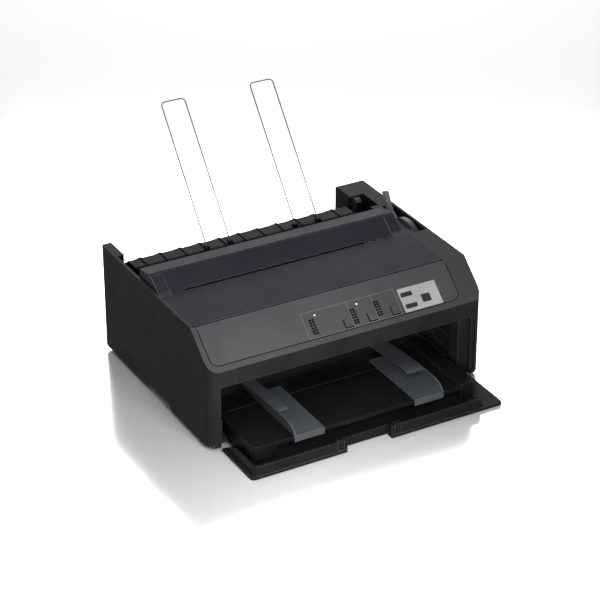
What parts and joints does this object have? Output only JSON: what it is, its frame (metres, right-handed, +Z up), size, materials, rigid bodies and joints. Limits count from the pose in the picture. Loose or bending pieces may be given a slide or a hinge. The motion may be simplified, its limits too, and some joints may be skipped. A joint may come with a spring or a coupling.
{
  "type": "dot matrix printer",
  "caption": "Black free-standing dot matrix printer with hinged smoke covers, sloping control panel, open front cover, front sheet tray with edge guides and wire paper supports.",
  "frame": {"origin": "centre of the bounding box seen from above, at the level of the table", "axes": "+X to the printer's right seen from the front, +Y to the rear, +Z up"},
  "size_m": [0.424, 0.4608, 0.3227],
  "materials": {
    "case_black": "fine satin texture",
    "foot_rubber": "matt",
    "panel_grey": "fine satin texture",
    "label_silver": "satin silver",
    "lamp_lens": "clear lens",
    "smoke_cover": "smoke tinted, semi-gloss",
    "guide_black": "satin",
    "wire_steel": "bright plated wire",
    "cover_black": "satin",
    "catch_black": "satin",
    "pin_steel": "ground",
    "tray_black": "satin",
    "guide_grey": "satin",
    "button_grey": "satin",
    "button_dark": "satin",
    "frame_steel": "zinc plated sheet",
    "carriage_black": "moulded",
    "head_alloy": "black die-cast fins",
    "cartridge_black": "moulded",
    "ribbon_ink": "inked nylon",
    "belt_rubber": "toothed belt, drawn smooth",
    "gear_white": "natural acetal",
    "motor_steel": "plated can",
    "platen_rubber": "ground smooth",
    "tractor_black": "moulded",
    "lever_grey": "satin",
    "board_green": "solder mask",
    "socket_black": "moulded",
    "switch_black": "semi-gloss"
  },
  "bodies": {
    "case": {"upper_case": "case_black", "lower_case": "case_black", "feet": "foot_rubber", "rear_cover": "case_black", "control_panel": "panel_grey", "panel_label": "label_silver", "status_lights": "lamp_lens", "rear_paper_guide": "guide_black", "cover_hinge_pins": "pin_steel", "left_side_frame": "frame_steel", "right_side_frame": "frame_steel", "carriage_shaft": "pin_steel", "carriage_rail": "frame_steel", "ribbon_cartridge": "cartridge_black", "ink_ribbon": "ribbon_ink", "timing_belt": "belt_rubber", "carriage_motor": "motor_steel", "motor_brackets": "frame_steel", "platen_bushes": "gear_white", "idler_pin": "pin_steel", "feed_motor": "motor_steel", "tractor_rod": "pin_steel", "main_board": "board_green", "rear_sockets": "socket_black"},
    "printer_cover_body": {"printer_cover": "smoke_cover"},
    "sheet_guide_body": {"sheet_guide_cover": "smoke_cover"},
    "front_cover_body": {"front_cover": "cover_black", "cover_catches": "catch_black"},
    "tray_body": {"front_tray": "tray_black"},
    "left_guide_body": {"left_edge_guide": "guide_grey"},
    "right_guide_body": {"right_edge_guide": "guide_grey"},
    "left_wire_body": {"left_wire_support": "wire_steel"},
    "right_wire_body": {"right_wire_support": "wire_steel"},
    "left_button_body": {"left_panel_button": "button_grey"},
    "middle_button_body": {"middle_panel_button": "button_grey"},
    "right_button_body": {"right_panel_button": "button_grey"},
    "upper_button_body": {"upper_label_button": "button_dark"},
    "lower_button_body": {"lower_label_button": "button_dark"},
    "square_button_body": {"square_label_button": "button_dark"},
    "carriage_body": {"carriage": "carriage_black", "print_head": "head_alloy"},
    "drive_pulley_body": {"drive_pulley": "gear_white"},
    "idler_pulley_body": {"idler_pulley": "gear_white"},
    "platen_body": {"platen": "platen_rubber", "platen_shaft": "pin_steel", "platen_gear": "gear_white", "platen_knob": "case_black"},
    "idler_gear_body": {"idler_gear": "gear_white"},
    "pinion_body": {"feed_pinion": "gear_white"},
    "tractor_shaft_body": {"tractor_shaft": "pin_steel", "tractor_gear": "gear_white"},
    "left_tractor_body": {"left_tractor": "tractor_black"},
    "right_tractor_body": {"right_tractor": "tractor_black"},
    "left_flap_body": {"left_tractor_cover": "tractor_black"},
    "right_flap_body": {"right_tractor_cover": "tractor_black"},
    "left_sprocket_body": {"left_sprocket": "gear_white"},
    "right_sprocket_body": {"right_sprocket": "gear_white"},
    "release_lever_body": {"paper_release_lever": "lever_grey"},
    "thickness_lever_body": {"thickness_lever": "lever_grey"},
    "switch_body": {"power_switch": "switch_black"}
  },
  "joints": [
    {"name": "printer_cover_hinge", "type": "hinge", "parent": "case", "child": "printer_cover_body", "pos_m": [-0.005, -0.01091, 0.159], "axis": [-1, 0, 0], "range_deg": [0, 95]},
    {"name": "sheet_guide_hinge", "type": "hinge", "parent": "case", "child": "sheet_guide_body", "pos_m": [-0.005, 0.05459, 0.158], "axis": [-1, 0, 0], "range_deg": [0, 60]},
    {"name": "front_cover_hinge", "type": "hinge", "parent": "case", "child": "front_cover_body", "pos_m": [-0.005, -0.14521, 0.0042], "axis": [-1, 0, 0], "range_deg": [0, 90]},
    {"name": "front_tray_slide", "type": "slide", "parent": "case", "child": "tray_body", "axis": [0, 1, 0], "range_m": [0, 0.176]},
    {"name": "left_edge_guide_slide", "type": "slide", "parent": "tray_body", "child": "left_guide_body", "axis": [1, 0, 0], "range_m": [-0.05, 0.05]},
    {"name": "right_edge_guide_slide", "type": "slide", "parent": "tray_body", "child": "right_guide_body", "axis": [1, 0, 0], "range_m": [-0.05, 0.028]},
    {"name": "left_wire_hinge", "type": "hinge", "parent": "case", "child": "left_wire_body", "pos_m": [-0.069, 0.09859, 0.1578], "axis": [-1, 0, 0], "range_deg": [-104, 0]},
    {"name": "right_wire_hinge", "type": "hinge", "parent": "case", "child": "right_wire_body", "pos_m": [0.069, 0.09859, 0.1578], "axis": [-1, 0, 0], "range_deg": [-104, 0]},
    {"name": "left_button_press", "type": "slide", "parent": "case", "child": "left_button_body", "axis": [0, 0.6534, -0.757], "range_m": [0, 0.0008], "stiffness_N_per_m": 600, "springref_m": -0.0005},
    {"name": "middle_button_press", "type": "slide", "parent": "case", "child": "middle_button_body", "axis": [0, 0.6534, -0.757], "range_m": [0, 0.0008], "stiffness_N_per_m": 600, "springref_m": -0.0005},
    {"name": "right_button_press", "type": "slide", "parent": "case", "child": "right_button_body", "axis": [0, 0.6534, -0.757], "range_m": [0, 0.0008], "stiffness_N_per_m": 600, "springref_m": -0.0005},
    {"name": "upper_button_press", "type": "slide", "parent": "case", "child": "upper_button_body", "axis": [0, 0.6534, -0.757], "range_m": [0, 0.0008], "stiffness_N_per_m": 600, "springref_m": -0.0005},
    {"name": "lower_button_press", "type": "slide", "parent": "case", "child": "lower_button_body", "axis": [0, 0.6534, -0.757], "range_m": [0, 0.0008], "stiffness_N_per_m": 600, "springref_m": -0.0005},
    {"name": "square_button_press", "type": "slide", "parent": "case", "child": "square_button_body", "axis": [0, 0.6534, -0.757], "range_m": [0, 0.0008], "stiffness_N_per_m": 600, "springref_m": -0.0005},
    {"name": "carriage_slide", "type": "slide", "parent": "case", "child": "carriage_body", "axis": [1, 0, 0], "range_m": [0, 0.245]},
    {"name": "drive_pulley_spin", "type": "hinge", "parent": "case", "child": "drive_pulley_body", "pos_m": [-0.178, -0.05841, 0.078], "axis": [0, 1, 0], "range_deg": [0, 1800]},
    {"name": "idler_pulley_spin", "type": "hinge", "parent": "case", "child": "idler_pulley_body", "pos_m": [0.138, -0.05841, 0.078], "axis": [0, 1, 0], "range_deg": [0, 1800]},
    {"name": "platen_spin", "type": "hinge", "parent": "case", "child": "platen_body", "pos_m": [-0.005, 0.01959, 0.128], "axis": [1, 0, 0], "continuous": true},
    {"name": "idler_gear_spin", "type": "hinge", "parent": "case", "child": "idler_gear_body", "pos_m": [-0.005, 0.05712, 0.09888], "axis": [1, 0, 0], "continuous": true},
    {"name": "feed_pinion_spin", "type": "hinge", "parent": "case", "child": "pinion_body", "pos_m": [-0.005, 0.05712, 0.06788], "axis": [1, 0, 0], "continuous": true},
    {"name": "tractor_shaft_spin", "type": "hinge", "parent": "case", "child": "tractor_shaft_body", "pos_m": [-0.005, 0.10159, 0.092], "axis": [1, 0, 0], "continuous": true},
    {"name": "left_tractor_slide", "type": "slide", "parent": "case", "child": "left_tractor_body", "axis": [1, 0, 0], "range_m": [-0.05, 0.05]},
    {"name": "right_tractor_slide", "type": "slide", "parent": "case", "child": "right_tractor_body", "axis": [1, 0, 0], "range_m": [-0.05, 0.05]},
    {"name": "left_tractor_cover_hinge", "type": "hinge", "parent": "left_tractor_body", "child": "left_flap_body", "pos_m": [-0.105, 0.13559, 0.104], "axis": [-1, 0, 0], "range_deg": [0, 55]},
    {"name": "right_tractor_cover_hinge", "type": "hinge", "parent": "right_tractor_body", "child": "right_flap_body", "pos_m": [0.073, 0.13559, 0.104], "axis": [-1, 0, 0], "range_deg": [0, 55]},
    {"name": "left_sprocket_spin", "type": "hinge", "parent": "left_tractor_body", "child": "left_sprocket_body", "pos_m": [-0.105, 0.10159, 0.092], "axis": [1, 0, 0], "continuous": true},
    {"name": "right_sprocket_spin", "type": "hinge", "parent": "right_tractor_body", "child": "right_sprocket_body", "pos_m": [0.073, 0.10159, 0.092], "axis": [1, 0, 0], "continuous": true},
    {"name": "release_lever_hinge", "type": "hinge", "parent": "case", "child": "release_lever_body", "pos_m": [0.182, 0.01959, 0.128], "axis": [1, 0, 0], "range_deg": [0, 72]},
    {"name": "thickness_lever_hinge", "type": "hinge", "parent": "case", "child": "thickness_lever_body", "pos_m": [-0.204, -0.03041, 0.1], "axis": [1, 0, 0], "range_deg": [0, 15]},
    {"name": "power_switch_rock", "type": "hinge", "parent": "case", "child": "switch_body", "pos_m": [0.079, 0.16359, 0.039], "axis": [1, 0, 0], "range_deg": [0, 14]}
  ],
  "couplings": [
    {"joint": "front_tray_slide", "follows": "front_cover_hinge", "m_per_rad": 0.112},
    {"joint": "drive_pulley_spin", "follows": "carriage_slide", "rad_per_m": 125},
    {"joint": "idler_pulley_spin", "follows": "carriage_slide", "rad_per_m": 125},
    {"joint": "idler_gear_spin", "follows": "platen_spin", "ratio": -0.9},
    {"joint": "feed_pinion_spin", "follows": "platen_spin", "ratio": 3.75},
    {"joint": "tractor_shaft_spin", "follows": "platen_spin", "ratio": 1.125},
    {"joint": "left_sprocket_spin", "follows": "platen_spin", "ratio": 1.125},
    {"joint": "right_sprocket_spin", "follows": "platen_spin", "ratio": 1.125}
  ]
}
